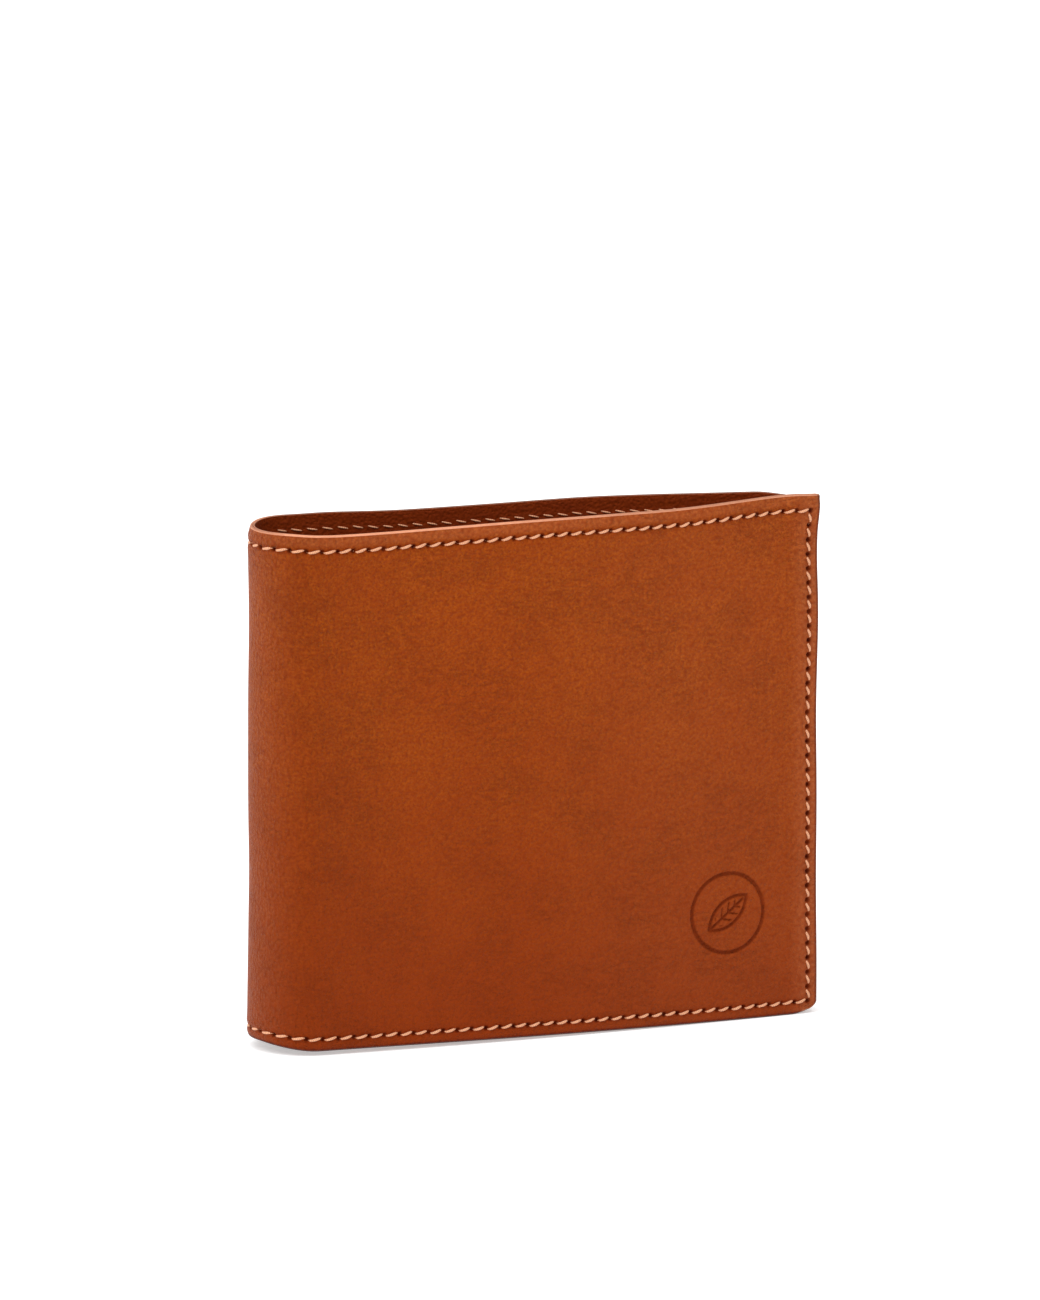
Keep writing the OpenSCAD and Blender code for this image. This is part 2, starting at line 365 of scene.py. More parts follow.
def stitch_rings(row, start, end, side):
    """One stitch as rings of points in metres, and the distance between its two holes."""
    (ua, za), (ub, zb) = start, end
    t = np.linspace(0, 1, STITCH_RINGS)
    length = math.hypot(ub - ua, zb - za)
    along_u, along_z = (ub - ua) / length, (zb - za) / length
    slant = row.slant * (STITCH_SLANT + rng.uniform(-STITCH_JITTER, STITCH_JITTER))
    shift = rng.uniform(-STITCH_JITTER, STITCH_JITTER)
    proud = THREAD_T * (STITCH_PROUD + rng.uniform(-STITCH_JITTER, STITCH_JITTER))
    proud = proud - STITCH_PRESS * fade(ua, 12, 2)

    run = row.gap + t * (length - 2 * row.gap)
    off = slant * (2 * t - 1) + shift
    u, z = rounded(ua + along_u * run - along_z * off, za + along_z * run + along_u * off, HEIGHT)
    sink = STITCH_SINK - (STITCH_SINK + proud) * np.sin(math.pi * t) ** 0.45
    outward = 1 if row.outer else -1
    n = row.depth(u, z) + outward * sink
    centre = place(u, z, n, side)

    surface = unit(outward * (place(u, z, n - 0.1, side) - centre))
    tangent = unit(np.gradient(centre, axis=0))
    wide = unit(np.cross(tangent, surface))
    up = np.cross(wide, tangent)
    spoke = np.linspace(0, 2 * math.pi, STITCH_SPOKES, endpoint=False)
    twist = spoke[None, :] + t[:, None] * STITCH_TWIST
    taper = 0.72 + 0.28 * np.sin(math.pi * t) ** 0.5
    girth = MM / 2 * taper[:, None] * (1 + 0.07 * np.cos(2 * twist))
    half_wide = girth * THREAD_W * (1 if row.outer else INNER_THREAD) * np.cos(spoke)
    half_high = girth * THREAD_T * np.sin(spoke)
    across = wide[:, None, :] * half_wide[:, :, None]
    upward = up[:, None, :] * half_high[:, :, None]
    return centre[:, None, :] + across + upward, length


def tube_faces(base):
    """Faces of one closed stitch whose points start at number base."""
    faces = []
    for i in range(STITCH_RINGS - 1):
        a = base + i * STITCH_SPOKES
        b = a + STITCH_SPOKES
        for j in range(STITCH_SPOKES):
            k = (j + 1) % STITCH_SPOKES
            faces.append((a + j, b + j, b + k, a + k))
    last = base + (STITCH_RINGS - 1) * STITCH_SPOKES
    faces.append(tuple(range(base, base + STITCH_SPOKES)))
    faces.append(tuple(reversed(range(last, last + STITCH_SPOKES))))
    return faces


def thread_mesh(rows, side):
    """Points, faces and texture places of every stitch in some rows."""
    points, faces, coords = [], [], []
    for row in rows:
        for start, end in zip(row.holes, row.holes[1:]):
            rings, length = stitch_rings(row, start, end, side)
            faces += tube_faces(len(points))
            points.extend(rings.reshape(-1, 3))
            own = start[0] + start[1] * 0.37  # so that no two stitches look alike
            for r in np.linspace(0, 1, STITCH_RINGS) * length:
                coords.extend((own + 0.3 * a / STITCH_SPOKES, r) for a in range(STITCH_SPOKES))
    if side < 0:
        faces = [tuple(reversed(f)) for f in faces]
    return points, faces, coords


# ---------------------------------------------------------------- relief, painted shade and darkening, wear and painted highlight


def ridge(distance, half_width, soft=0.16):
    """1 on a line, 0 off it, with soft shoulders."""
    return fade(np.abs(distance), half_width + soft, half_width)


def mark(u, z):
    """A plain leaf in a ring, pressed into the front of the cover."""
    x, y = u - MARK_U, z - MARK_Z
    ring = ridge(np.hypot(x, y) - MARK_R, 0.26)
    tilt = math.radians(38)
    a = x * math.cos(tilt) + y * math.sin(tilt)
    b = y * math.cos(tilt) - x * math.sin(tilt)
    bow, back = 6.3, 4.1  # the leaf is where two discs overlap: their radius and half distance
    leaf = np.maximum(np.hypot(a, b - back), np.hypot(a, b + back)) - bow
    outline = ridge(leaf, 0.22)
    rib = ridge(b, 0.16) * fade(a, -4.9, -4.5) * fade(a, 4.2, 3.8)
    vein_pitch = 1.7
    phase = (a - np.abs(b) * 0.9) / vein_pitch
    veins = ridge((phase - np.round(phase)) * vein_pitch, 0.10)
    veins = veins * fade(leaf, -0.5, -0.8) * fade(np.abs(a), 3.0, 2.4)
    return np.maximum(np.maximum(ring, outline), np.maximum(rib, veins))


def hole_core(u, z, width):
    """1 in a needle hole and 0 outside it, with a steep side."""
    return np.exp(-((hole_distance(u, z) / width) ** 4))


def cover_relief(u, z, side):
    """Depth pressed into the outer face of the cover: the seam, its holes, the edges and the mark."""
    seam = row_distance(u, z)
    depth = 0.14 * bell(seam, 0.75) + 0.60 * hole_core(u, z, 0.42) - 0.06 * bell(seam - 1.5, 0.7)
    edge = np.minimum(z, GIRTH - u)
    depth = depth + 0.26 * fade(edge, 1.9, 0) ** 2 + 0.42 * fade(HEIGHT - z, 2.8, 0) ** 1.5
    if side < 0:
        depth = depth + 0.34 * mark(u, z)
    return depth


def cover_dark(u, z, side):
    """How dark the outer face is painted: painted shade in the needle holes, under the thread and along the
    foot and open edge, and darker in the pressed mark.
    """
    # painted shade in the needle holes and under the thread
    dark = 0.95 * hole_core(u, z, 0.46) + 0.25 * bell(row_distance(u, z), 0.6)
    # painted shade along the open edge, and a painted contact shadow along the foot
    dark = dark + 0.75 * fade(u, GIRTH - 0.75, GIRTH - 0.4) + 0.95 * fade(z, 0.71, 0.36)
    if side < 0:
        dark = dark + 0.6 * mark(u, z)
    return np.clip(dark, 0, 1)


def cover_wear_and_highlight(u, z, side):
    """How pale the outer face is painted: wear with painted highlight at the top margin, the fold and the
    open edge.
    """
    top = 0.30 * fade(z, SEAM_TOP + 0.3, SEAM_TOP + 1.5)
    open_edge = 0.34 * fade(u, GIRTH - 6.5, GIRTH - 1.5) + 0.08 * fade(u, 50, 90)
    fold = 0.22 * fade(u, 13, 0)
    return np.maximum(np.maximum(top, open_edge), fold)


def rim_dark(u, z, side):
    """How dark the cut edge is painted: painted shade underneath and at the open edge, and darker along the
    top, most on the back half, and by the fold.
    """
    # painted shade: under the foot and along the open edge
    below = np.maximum(0.85 * fade(u, GIRTH - 0.6, GIRTH - 0.2), fade(z, 1.0, 0.5))
    below = below * fade(z, HEIGHT - 0.1, HEIGHT - 0.4)
    top = 0.85 * fade(u, 4, 20) if side > 0 else 0.35 * fade(u, 40, 90)
    fold = 0.4 * fade(u, 13, 3)
    return np.maximum(np.maximum(below, top), fold)


# ---------------------------------------------------------------- closed sheets of leather

FINE = 16  # lattice steps in one base cell, which is a stitch pitch wide
PLAIN_CELL = 8  # largest cell of a face, in lattice steps
EDGE_CELL = 4  # largest cell at a border
COVER_CELL = 4  # largest cell on the outer face of the cover
SEAM_CELL = 1  # cell by a needle hole or in the mark


def cells(nu, nz, want):
    """Splits the lattice into square cells no larger than want(i0, i1, j0, j1) asks for."""
    found = []
    pending = [(i, j, FINE) for i in range(0, nu, FINE) for j in range(0, nz, FINE)]
    while pending:
        i, j, size = pending.pop()
        if size > want(i, i + size, j, j + size):
            half = size // 2
            pending += [(i, j, half), (i + half, j, half), (i, j + half, half), (i + half, j + half, half)]
        else:
            found.append((i, j, size))
    found.sort()
    return found


def cell_corners(found):
    corners = set()
    for i, j, size in found:
        corners.update(((i, j), (i + size, j), (i, j + size), (i + size, j + size)))
    return corners


def cell_faces(found, index):
    """One face for each cell, with the smaller neighbours' corners on its edges."""
    faces = []
    for i, j, size in found:
        loop = []
        far_i, far_j = i + size, j + size
        for a, b, da, db in ((i, j, 1, 0), (far_i, j, 0, 1), (far_i, far_j, -1, 0), (i, far_j, 0, -1)):
            loop += [index[p] for p in ((a + da * k, b + db * k) for k in range(size)) if p in index]
        faces.append(tuple(loop))
    return faces


def rim_profile(bevel, thick):
    """Loops of the cut edge: how far out, which share of the thickness, and the depth added."""
    lip = min(bevel, thick * 0.45)
    loops = []
    for share, way, angles in ((0.0, 1, (30, 60, 90)), (1.0, -1, (90, 45))):
        for angle in map(math.radians, angles):
            loops.append((bevel * math.sin(angle), share, way * lip * (1 - math.cos(angle))))
    return loops


class SheetPoints:
    """The points of a sheet, as they are added."""

    def __init__(self):
        self.lattice, self.out, self.share, self.added = [], [], [], []

    def add(self, places, out=None, share=0.0, added=0.0):
        """Adds a point at each lattice place, and gives their numbers."""
        first = len(self.lattice)
        self.lattice += places
        self.out += out or [(0.0, 0.0)] * len(places)
        self.share += [share] * len(places)
        self.added += [added] * len(places)
        return list(range(first, len(self.lattice)))


def build_sheet(name, side, u0, z0, z1, depth, thick, materials, bevel, relief=None, dark=None, wear_and_highlight=None,
                rim=None, fine=None, shape=None, uv_shift=0.0, cut_at_fold=True):
    """A closed sheet of leather from u0 to the open edge and from z0 to z1.

    depth gives its outer face; relief, dark, rim and the wear mask give that face's and the rim's
    detail: dark and rim paint shade and other darkening, and the wear mask paints wear with
    highlight. fine gives the cell size it needs, and shape its outline. materials are for the outer
    face, the inner face and the rim.
    """
    step = PITCH / FINE
    nu = max(1, round((GIRTH - u0) / step / FINE)) * FINE
    nz = max(1, round((z1 - z0) / step / FINE)) * FINE
    lo_u = u0 if cut_at_fold else u0 + bevel

    def to_u(i):
        return lo_u + (GIRTH - bevel - lo_u) * np.asarray(i, float) / nu

    def to_z(j):
        return z0 + bevel + (z1 - z0 - 2 * bevel) * np.asarray(j, float) / nz

    def want_inner(i0, i1, j0, j1):
        return EDGE_CELL if i0 == 0 or j0 == 0 or i1 == nu or j1 == nz else PLAIN_CELL

    def want_outer(i0, i1, j0, j1):
        size = want_inner(i0, i1, j0, j1)
        return size if fine is None else min(size, fine(to_u(i0), to_u(i1), to_z(j0), to_z(j1)))

    def outward(p):
        du = 1 if p[0] == nu else (-1 if p[0] == 0 and not cut_at_fold else 0)
        dz = 1 if p[1] == nz else (-1 if p[1] == 0 else 0)
        return du, dz

    # Where the outer face is finer at its border, the inner face and the rim follow it.
    outer_cells = cells(nu, nz, want_outer)
    inner_cells = cells(nu, nz, want_inner)
    outer_places = sorted(cell_corners(outer_cells))
    border = [(i, 0) for i in range(nu)] + [(nu, j) for j in range(nz)]
    border += [(i, nz) for i in range(nu, 0, -1)] + [(0, j) for j in range(nz, 0, -1)]
    known = set(outer_places)
    border = [p for p in border if p in known]
    inner_places = sorted(cell_corners(inner_cells) | set(border))

    points = SheetPoints()
    outer_index = dict(zip(outer_places, points.add(outer_places)))
    inner_index = dict(zip(inner_places, points.add(inner_places, share=1.0)))
    rim_from = len(points.lattice)
    loops = [[outer_index[p] for p in border]]
    for distance, rim_share, rim_added in rim_profile(bevel, thick):
        out = [(du * distance, dz * distance) for du, dz in map(outward, border)]
        loops.append(points.add(border, out, rim_share, rim_added))
    loops.append([inner_index[p] for p in border])

    ij = np.array(points.lattice)
    out = np.array(points.out)
    share = np.array(points.share)
    below = share * thick + np.array(points.added)
    flat_u = to_u(ij[:, 0]) + out[:, 0]
    flat_z = to_z(ij[:, 1]) + out[:, 1]
    u, z = shape(flat_u, flat_z) if shape else (flat_u, flat_z)
    u, z = rounded(u, z, z1)
    n = depth(u, z) + below
    if relief:
        n = n + (1 - share) * relief(u, z, side)
    # painted shade and other darkening of the outer face, and of the rim where rim is given
    shade_and_darkening = (1 - share) * dark(u, z, side) if dark else np.zeros_like(u)
    if rim:
        shade_and_darkening = np.where(np.arange(len(u)) >= rim_from, rim(flat_u, flat_z, side), shade_and_darkening)
    # wear with painted highlight on the outer face
    worn_and_highlight = (1 - share) * wear_and_highlight(flat_u, flat_z, side) if wear_and_highlight else np.zeros_like(u)

    groups = [cell_faces(outer_cells, outer_index), cell_faces(inner_cells, inner_index), [], []]
    groups[1] = [tuple(reversed(f)) for f in groups[1]]
    for a, b in zip(loops, loops[1:]):
        for k in range(len(border)):
            m = (k + 1) % len(border)
            on_cut = cut_at_fold and border[k][0] == 0 and border[m][0] == 0
            groups[3 if on_cut else 2].append((a[k], b[k], b[m], a[m]))
    faces = [f for group in groups for f in group]
    if side > 0:
        faces = [tuple(reversed(f)) for f in faces]

    mesh = bpy.data.meshes.new(name)
    mesh.from_pydata(place(u, z, n, side).tolist(), [], faces)
    slots = [slot for slot, group in zip((0, 1, 2, 2), groups) for f in group]
    mesh.polygons.foreach_set("material_index", slots)
    mesh.polygons.foreach_set("use_smooth", [True] * len(faces))
    for material in materials:
        mesh.materials.append(material)
    along_edge = below * np.array([outward(tuple(p))[1] != 0 for p in ij])
    flat = np.column_stack([(-side * flat_u) / 100 + uv_shift + share * 0.31, (flat_z + along_edge) / 100])
    vertex_of = add_uv(mesh, flat)
    mesh.attributes.new("shade_and_darkening", "FLOAT", "POINT").data.foreach_set("value", shade_and_darkening)
    mesh.attributes.new("wear_and_highlight", "FLOAT", "POINT").data.foreach_set("value", worn_and_highlight)
    if cut_at_fold:
        soften_cut(mesh, len(faces) - len(groups[3]), ij[:, 0] == 0, vertex_of)
    mesh.validate()
    return add_object(name, mesh)


def add_uv(mesh, coords):
    """Lays the texture out on a mesh; a unit is 100 mm on leather. Gives each corner's vertex."""
    vertex_of = np.empty(len(mesh.loops), int)
    mesh.loops.foreach_get("vertex_index", vertex_of)
    mesh.uv_layers.new(name="leather").data.foreach_set("uv", coords[vertex_of].ravel())
    return vertex_of


def add_object(name, data):
    piece = bpy.data.objects.new(name, data)
    bpy.context.scene.collection.objects.link(piece)
    return piece


def soften_cut(mesh, first_cap, on_cut, vertex_of):
    """Makes the shading run on across the fold's middle line, where two meshes meet."""
    sharp = [e.index for e in mesh.edges if on_cut[e.vertices[0]] and on_cut[e.vertices[1]]]
    flags = np.zeros(len(mesh.edges), bool)
    flags[sharp] = True
    mesh.attributes.new("sharp_edge", "BOOLEAN", "EDGE").data.foreach_set("value", flags)
    mesh.update()
    auto = np.empty(len(mesh.loops) * 3)
    mesh.corner_normals.foreach_get("vector", auto)
    auto = auto.reshape(-1, 3)
    custom = np.zeros_like(auto)
    caps_from = mesh.polygons[first_cap].loop_start if first_cap < len(mesh.polygons) else len(auto)
    chosen = on_cut[vertex_of]
    chosen[caps_from:] = False
    custom[chosen] = auto[chosen] * (1, 0, 1)
    lengths = np.linalg.norm(custom, axis=1)
    custom[lengths > 0] /= lengths[lengths > 0][:, None]
    mesh.normals_split_custom_set(custom.tolist())


# ---------------------------------------------------------------- materials


class Nodes:
    """A short way to write a material's nodes."""

    def __init__(self, name):
        self.material = bpy.data.materials.new(name)
        self.material.use_nodes = True
        self.tree = self.material.node_tree
        self.bsdf = self.tree.nodes["Principled BSDF"]
        self.uv = self.add("ShaderNodeUVMap", uv_map="leather").outputs[0]

    def add(self, kind, inputs=None, **settings):
        node = self.tree.nodes.new(kind)
        for key, value in settings.items():
            setattr(node, key, value)
        for key, value in (inputs or {}).items():
            self.set(node.inputs[key], value)
        return node

    def set(self, socket, value):
        if isinstance(value, bpy.types.NodeSocket):
            self.tree.links.new(value, socket)
        else:
            socket.default_value = value

    def shader(self, **inputs):
        """Sets the shader's inputs; Base_Color stands for Base Color."""
        for key, value in inputs.items():
            self.set(self.bsdf.inputs[key.replace("_", " ")], value)

    def mapped(self, scale):
        return self.add("ShaderNodeMapping", {"Vector": self.uv, "Scale": scale}).outputs[0]

    def noise(self, scale, detail=4.0, rough=0.55, distortion=0.0, stretch=(1, 1, 1)):
        vector = self.mapped(tuple(scale * s for s in stretch))
        return self.add("ShaderNodeTexNoise", {"Vector": vector, "Scale": 1.0, "Detail": detail,
                                               "Roughness": rough, "Distortion": distortion}).outputs["Fac"]

    def math(self, operation, a, b=0.0):
        return self.add("ShaderNodeMath", {0: a, 1: b}, operation=operation).outputs[0]

    def ramp(self, value, low, high, out_low=0.0, out_high=1.0):
        return self.add("ShaderNodeMapRange", {"Value": value, "From Min": low, "From Max": high,
                                               "To Min": out_low, "To Max": out_high}).outputs[0]

    def mix(self, factor, a, b):
        node = self.add("ShaderNodeMix", data_type="RGBA")
        self.set(node.inputs["Factor"], factor)
        self.set(node.inputs["A"], a)
        self.set(node.inputs["B"], b)
        return node.outputs["Result"]

    def bump(self, height, strength, distance, normal=None):
        inputs = {"Height": height, "Strength": strength, "Distance": distance}
        if normal is not None:
            inputs["Normal"] = normal
        return self.add("ShaderNodeBump", inputs).outputs[0]

    def attribute(self, name):
        return self.add("ShaderNodeAttribute", attribute_name=name).outputs["Fac"]


def rgb(red, green, blue):
    """An sRGB colour from 0 to 255 as linear RGBA."""
    def linear(c):
        c /= 255
        return c / 12.92 if c <= 0.04045 else ((c + 0.055) / 1.055) ** 2.4
    return (linear(red), linear(green), linear(blue), 1.0)


RUBBED_AND_LIT = rgb(184, 106, 64)  # leather worn pale, with painted highlight
SHADE_AND_PRESS_BROWN = rgb(84, 16, 2)  # painted shade in needle holes, under the thread and along the foot and open edge; darker in the pressed mark
# painted shade on the cut edge under the foot and at the open edge, and the other darker rims
EDGE_SHADE_AND_DARKENING = rgb(66, 24, 10)


def pebbles(m):
    """Height of the leather's small rounded grain."""
    warp = m.add("ShaderNodeTexNoise", {"Vector": m.mapped((26.0, 26.0, 26.0)), "Scale": 1.0, "Detail": 3.0})
    bent = m.add("ShaderNodeVectorMath", {0: m.mapped((150.0, 175.0, 1.0)), 1: warp.outputs["Color"]},
                 operation="ADD")
    grain = m.add("ShaderNodeTexVoronoi", {"Vector": bent.outputs[0], "Scale": 1.0, "Randomness": 1.0},
                  feature="SMOOTH_F1")
    return grain.outputs["Distance"]


def fine_creases(m):
    """0 in the fine creases that run here and there, 1 elsewhere."""
    creases = m.noise(30.0, detail=7, rough=0.72, distortion=1.4, stretch=(0.55, 1.6, 1))
    crease = m.ramp(m.math("ABSOLUTE", m.math("SUBTRACT", creases, 0.5)), 0.0, 0.035)
    patch = m.ramp(m.noise(7.0, detail=2), 0.44, 0.62)
    return m.math("MAXIMUM", crease, m.math("SUBTRACT", 1.0, patch))


def leather(name, base, warm, deep, rough, grain=1.0, shade_by_height=True):
    """Smooth vegetable-tanned leather: cloudy dye, a fine grain, streaks by the fold and creases, and
    painted shade and highlight.

    base, warm and deep are its dye colours, and grain is how strong its relief is. The bump
    distances are in metres.
    """
    m = Nodes(name)
    texture_place = m.add("ShaderNodeSeparateXYZ", {"Vector": m.uv}).outputs
    pebble = pebbles(m)
    crease = fine_creases(m)
    strands = m.noise(95.0, detail=5, rough=0.7, distortion=0.5, stretch=(1.7, 0.6, 1))
    by_fold = m.ramp(m.math("ABSOLUTE", texture_place["X"]), 0.34, 0.06, 0.25, 1.0)

    clouds = m.noise(5.5, detail=5, rough=0.6, distortion=0.6)
    mottle = m.noise(38.0, detail=6, rough=0.65)
    speck = m.noise(210.0, detail=4, rough=0.6)
    # painted shade and other darkening, from the mesh
    shade_and_darkening = m.attribute("shade_and_darkening")
    colour = m.mix(m.ramp(clouds, 0.36, 0.66), base, warm)
    colour = m.mix(m.math("MULTIPLY", m.ramp(mottle, 0.42, 0.75), 0.45), colour, deep)
    if shade_by_height:
        # painted shade: darker towards the bottom
        colour = m.mix(m.ramp(texture_place["Y"], 0.70, 0.0, 0.0, 0.9), colour, deep)
    colour = m.mix(m.ramp(speck, 0.44, 0.70), colour, deep)
    # wear with painted highlight
    colour = m.mix(m.attribute("wear_and_highlight"), colour, RUBBED_AND_LIT)
    # painted shade in holes, under the thread and along the edges; darker in the pressed mark
    colour = m.mix(shade_and_darkening, colour, SHADE_AND_PRESS_BROWN)
    streak = m.math("MULTIPLY", m.ramp(strands, 0.48, 0.68), by_fold)
    colour = m.mix(m.math("MULTIPLY", streak, 0.65), colour, deep)
    colour = m.mix(m.ramp(pebble, 0.25, 0.75, 0.0, 0.65), colour, deep)
    # painted shade in the fine creases
    colour = m.mix(m.ramp(crease, 1.0, 0.0, 0.0, 0.15), colour, deep)

    fine = m.noise(420.0, detail=4, rough=0.6)
    normal = m.bump(pebble, 1.0 * grain, 0.0004)
    normal = m.bump(m.math("MULTIPLY", strands, by_fold), 0.8 * grain, 0.0008, normal)
    normal = m.bump(fine, 0.4 * grain, 0.00014, normal)
    normal = m.bump(crease, 0.5 * grain, 0.00015, normal)

    gloss = m.ramp(m.noise(60.0, detail=4), 0.3, 0.7, rough - 0.06, rough + 0.08)
    gloss = m.math("ADD", gloss, m.math("MULTIPLY", shade_and_darkening, 0.15))
    m.shader(Base_Color=colour, Roughness=gloss, Normal=normal, IOR=1.45, Specular_IOR_Level=0.08,
             Sheen_Weight=0.09, Sheen_Roughness=0.13, Sheen_Tint=rgb(255, 208, 172))
    return m.material


def cut_edge(name, pale, dark):
    """Cut leather edge: layered fibres, rubbed smooth."""
    m = Nodes(name)
    fibres = m.noise(70.0, detail=8, rough=0.75, stretch=(1, 12, 1))
    blotch = m.noise(24.0, detail=3)
    colour = m.mix(m.ramp(fibres, 0.35, 0.7), pale, dark)
    colour = m.mix(m.ramp(blotch, 0.45, 0.75, 0.0, 0.6), colour, dark)
    # painted shade under the foot and at the open edge, and darker along the top and by the fold
    colour = m.mix(m.attribute("shade_and_darkening"), colour, EDGE_SHADE_AND_DARKENING)
    m.shader(Base_Color=colour, Roughness=m.ramp(fibres, 0.2, 0.8, 0.5, 0.75),
             Normal=m.bump(fibres, 0.5, 0.0001))
    return m.material


def waxed_thread(name):
    """Pale waxed thread: twisted plies with a little dirt."""
    m = Nodes(name)
    plies = m.add("ShaderNodeTexWave", {"Vector": m.uv, "Scale": 1.6, "Distortion": 1.0, "Detail": 2.0},
                  bands_direction="DIAGONAL").outputs["Fac"]
    fuzz = m.noise(300.0, detail=5)
    colour = m.mix(m.ramp(plies, 0.1, 0.9), rgb(232, 170, 130), rgb(202, 138, 100))
    colour = m.mix(m.ramp(fuzz, 0.5, 0.8, 0.0, 0.5), colour, rgb(170, 108, 74))
    m.shader(Base_Color=colour, Roughness=m.ramp(fuzz, 0.3, 0.7, 0.45, 0.65),
             Normal=m.bump(plies, 0.5, 0.00008))
    return m.material


COVER = leather("cover_leather", rgb(156, 69, 8), rgb(162, 76, 10), rgb(130, 46, 4), 0.47)
# darker than the cover: partly painted shade on the inside faces
SHADED_LINING = leather("lining_leather", rgb(129, 47, 8), rgb(137, 53, 10), rgb(111, 37, 6), 0.62, grain=0.5,
                 shade_by_height=False)
POCKET = leather("pocket_leather", rgb(142, 60, 18), rgb(149, 66, 20), rgb(126, 48, 13), 0.50, grain=0.8,
                 shade_by_height=False)
EDGE = cut_edge("cut_edge", rgb(236, 164, 124), rgb(192, 118, 84))
INNER_EDGE = cut_edge("inner_cut_edge", rgb(168, 98, 62), rgb(126, 68, 42))
THREAD = waxed_thread("thread")

# ---------------------------------------------------------------- the pieces


def across_fold(piece, half):
    """A piece of one half that runs on to the middle of the fold."""
    if half == "back":
        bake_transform(piece)
    else:
        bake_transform(piece)


def near_seams(u0, u1, z0, z1):
    """Cell size near the needle holes: the outer face is finest there and along its foot."""
    around = 0.9
    in_row = any(z1 > row - around and z0 < row + around for row in (SEAM_TOP, BOTTOM_MARGIN))
    in_side = u1 > SEAM_U - around
    return SEAM_CELL if in_row or in_side or z0 < 0.5 else COVER_CELL


def near_mark(u0, u1, z0, z1):
    """Cell size near the needle holes and in the mark."""
    around = MARK_R + 0.8
    in_u = u1 > MARK_U - around and u0 < MARK_U + around
    in_z = z1 > MARK_Z - around and z0 < MARK_Z + around
    return SEAM_CELL if in_u and in_z else near_seams(u0, u1, z0, z1)


def make_cover(half, side):
    piece = build_sheet(f"{half}_cover_leather", side, 0, 0, HEIGHT, cover_n, COVER_T,
                        [COVER, SHADED_LINING, EDGE], COVER_BEVEL, relief=cover_relief, dark=cover_dark,
                        wear_and_highlight=cover_wear_and_highlight, rim=rim_dark, fine=near_mark if side < 0 else near_seams)
    across_fold(piece, half)
    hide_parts(f"{half}_cover", "spine_cover")


def make_lining(half, side):
    piece = build_sheet(f"{half}_lining_leather", side, 0, 0, HEIGHT, lining_n, LINING_T,
                        [SHADED_LINING, SHADED_LINING, EDGE], LINING_BEVEL, rim=rim_dark, uv_shift=2.0)
    across_fold(piece, half)
    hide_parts(f"{half}_lining", "spine_lining")


def make_divider(half, side):
    piece = build_sheet(f"{half}_divider_leather", side, 0, 0, DIVIDER_TOP, divider_n, DIVIDER_T,
                        [SHADED_LINING, SHADED_LINING, INNER_EDGE], PANEL_BEVEL, uv_shift=4.0)
    across_fold(piece, half)
    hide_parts(f"{half}_divider", "spine_divider")


def make_backing(half, side):
    piece = build_sheet(f"{half}_pocket_backing_leather", side, BACKING_START, 0, DIVIDER_TOP, backing_n,
                        BACKING_T, [POCKET, POCKET, INNER_EDGE], PANEL_BEVEL, uv_shift=6.0,
                        cut_at_fold=False)
    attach(piece, f"{half}_half")
    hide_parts(f"{half}_pocket_backing")


def pocket_outline(k):
    """Draws the lower part of a pocket in, behind the next pocket, to give it its T shape."""
    if k == len(MOUTHS):
        return None
    strip_foot = MOUTHS[k]  # mouth of the next pocket down
    middle = (POCKET_START + GIRTH) / 2
    half_width = (GIRTH - POCKET_START) / 2
    left = (POCKET_START + FOLD_WING + WING_CLEAR - middle) / half_width
    right = (GIRTH - EDGE_WING - WING_CLEAR - middle) / half_width

    def outline(u, z):
        share = fade(z, strip_foot + 0.5, strip_foot - 2.0)
        t = (u - middle) / half_width
        drawn = np.where(t < 0, -t * left, t * right)
        return middle + half_width * (t + (drawn - t) * share), z

    return outline


def make_pocket(half, side, k):
    piece = build_sheet(f"{half}_card_pocket_{k}_leather", side, POCKET_START, FEET[k - 1], MOUTHS[k - 1],
                        lambda u, z: pocket_n(u, z, k), POCKET_T, [POCKET, POCKET, INNER_EDGE],
                        POCKET_BEVEL, uv_shift=6.0 + 1.3 * k, cut_at_fold=False, shape=pocket_outline(k))
    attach(piece, f"{half}_half")
    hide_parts(f"{half}_card_pocket_{k}")


def make_thread(name, rows, side):
    points, faces, coords = thread_mesh(rows, side)
    mesh = bpy.data.meshes.new(name)
    mesh.from_pydata(points, [], faces)
    mesh.polygons.foreach_set("use_smooth", [True] * len(faces))
    mesh.materials.append(THREAD)
    add_uv(mesh, np.array(coords))
    piece = add_object(name, mesh)
    return piece


def make_edge_thread(half, side):
    """The perimeter seam of one half: every stitch of its outer and of its inner face."""
    rows = []
    for depth, outer in ((cover_n, True), (innermost_n, False)):
        for holes, gap in ((TOP_HOLES, LEVEL_GAP), (BOTTOM_HOLES, LEVEL_GAP), (SIDE_HOLES, UPRIGHT_GAP)):
            rows.append(Row(holes, depth, outer, -side, gap if outer else INNER_GAP))
    piece = make_thread(f"{half}_edge_stitches", rows, side)
    across_fold(piece, half)
    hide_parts(f"{half}_edge_thread", "spine_edge_thread")


def make_pocket_thread(half, side):
    """The seam up the fold side of the card pockets."""
    rows = [Row(POCKET_HOLES, innermost_n, False, -side, INNER_GAP)]
    piece = make_thread(f"{half}_pocket_stitches", rows, side)
    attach(piece, f"{half}_half")
    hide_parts(f"{half}_pocket_thread")


for half, side in HALVES.items():
    make_cover(half, side)
    make_lining(half, side)
    make_divider(half, side)
    make_backing(half, side)
    for k in (1, 2, 3, 4):
        make_pocket(half, side, k)
    make_edge_thread(half, side)
    make_pocket_thread(half, side)

# ---------------------------------------------------------------- floor, light and camera

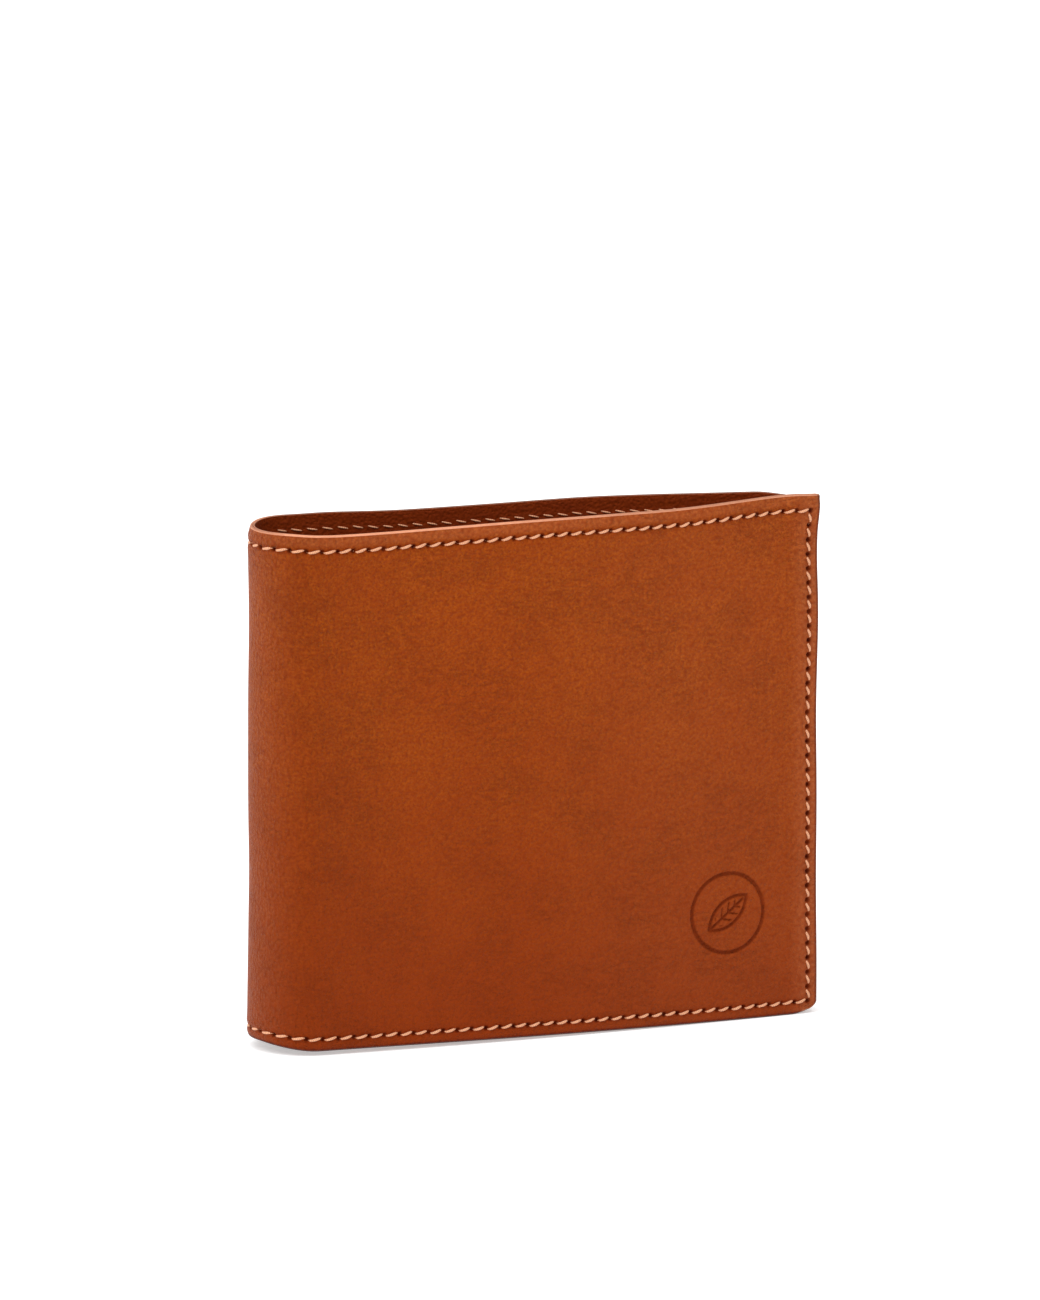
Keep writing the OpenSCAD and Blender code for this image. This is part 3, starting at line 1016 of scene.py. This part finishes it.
FLOOR_REACH = 3.0  # metres from the middle to each side
AZIMUTH = math.radians(-19.0)
ELEVATION = math.radians(11.2)
DISTANCE = 6.0  # metres from the wallet
LENS = 917.2  # a long lens, in millimetres, on a sensor of common width
SENSOR = 36
AIM_SIDE = 0.00245  # metres: the wallet stands a little right of the middle of the view
AIM_UP = 0.0219  # and below it


def make_floor():
    """A white table that is also lit through, so that only soft shadows show on it."""
    mesh = bpy.data.meshes.new("floor")
    corners = [(x * FLOOR_REACH, y * FLOOR_REACH, 0) for x, y in ((-1, -1), (1, -1), (1, 1), (-1, 1))]
    mesh.from_pydata(corners, [], [(0, 1, 2, 3)])
    material = bpy.data.materials.new("floor")
    material.use_nodes = True
    shader = material.node_tree.nodes["Principled BSDF"].inputs
    shader["Base Color"].default_value = (0.8, 0.8, 0.8, 1)
    shader["Roughness"].default_value = 0.8
    shader["Emission Color"].default_value = (1, 1, 1, 1)
    shader["Emission Strength"].default_value = 0.42
    mesh.materials.append(material)
    add_object("floor", mesh)


def point_at(thing, direction):
    thing.rotation_mode = "QUATERNION"
    thing.rotation_quaternion = direction.to_track_quat("-Z", "Y")


def make_side_light(location, aim, size, power):
    data = bpy.data.lights.new("side", "AREA")
    data.shape = "RECTANGLE"
    data.size, data.size_y = size
    data.energy = power
    light = add_object("side", data)
    light.location = location
    point_at(light, Vector(aim) - Vector(location))


def make_sun(towards, strength, spread):
    """A soft overhead light; towards points from the wallet to the light, and spread is in degrees."""
    data = bpy.data.lights.new("top", "SUN")
    data.energy = strength
    data.angle = math.radians(spread)
    light = add_object("top", data)
    light.location = towards
    point_at(light, -Vector(towards))


def make_world():
    world = bpy.data.worlds.new("studio")
    world.use_nodes = True
    background = world.node_tree.nodes["Background"].inputs
    background["Color"].default_value = (1, 1, 1, 1)
    background["Strength"].default_value = 0.46
    bpy.context.scene.world = world


def make_camera():
    data = bpy.data.cameras.new("camera")
    data.sensor_width = SENSOR
    data.lens = LENS
    data.clip_start, data.clip_end = 0.1, 50
    camera = add_object("camera", data)
    level = math.cos(ELEVATION)
    back = Vector((math.sin(AZIMUTH) * level, -math.cos(AZIMUTH) * level, math.sin(ELEVATION)))
    right = Vector((math.cos(AZIMUTH), math.sin(AZIMUTH), 0))
    up = back.cross(right)
    aim = Vector((0, 0, HEIGHT * MM / 2)) - right * AIM_SIDE + up * AIM_UP
    camera.location = aim + back * DISTANCE
    point_at(camera, -back)
    bpy.context.scene.camera = camera


make_floor()
make_world()
make_sun(towards=(-0.28, -0.32, 1.0), strength=2.9, spread=70)
make_side_light(location=(-1.3, 0.9, 0.5), aim=(0, 0, 0.05), size=(1.0, 0.9), power=7)
make_camera()
bpy.context.scene.view_settings.view_transform = "Standard"
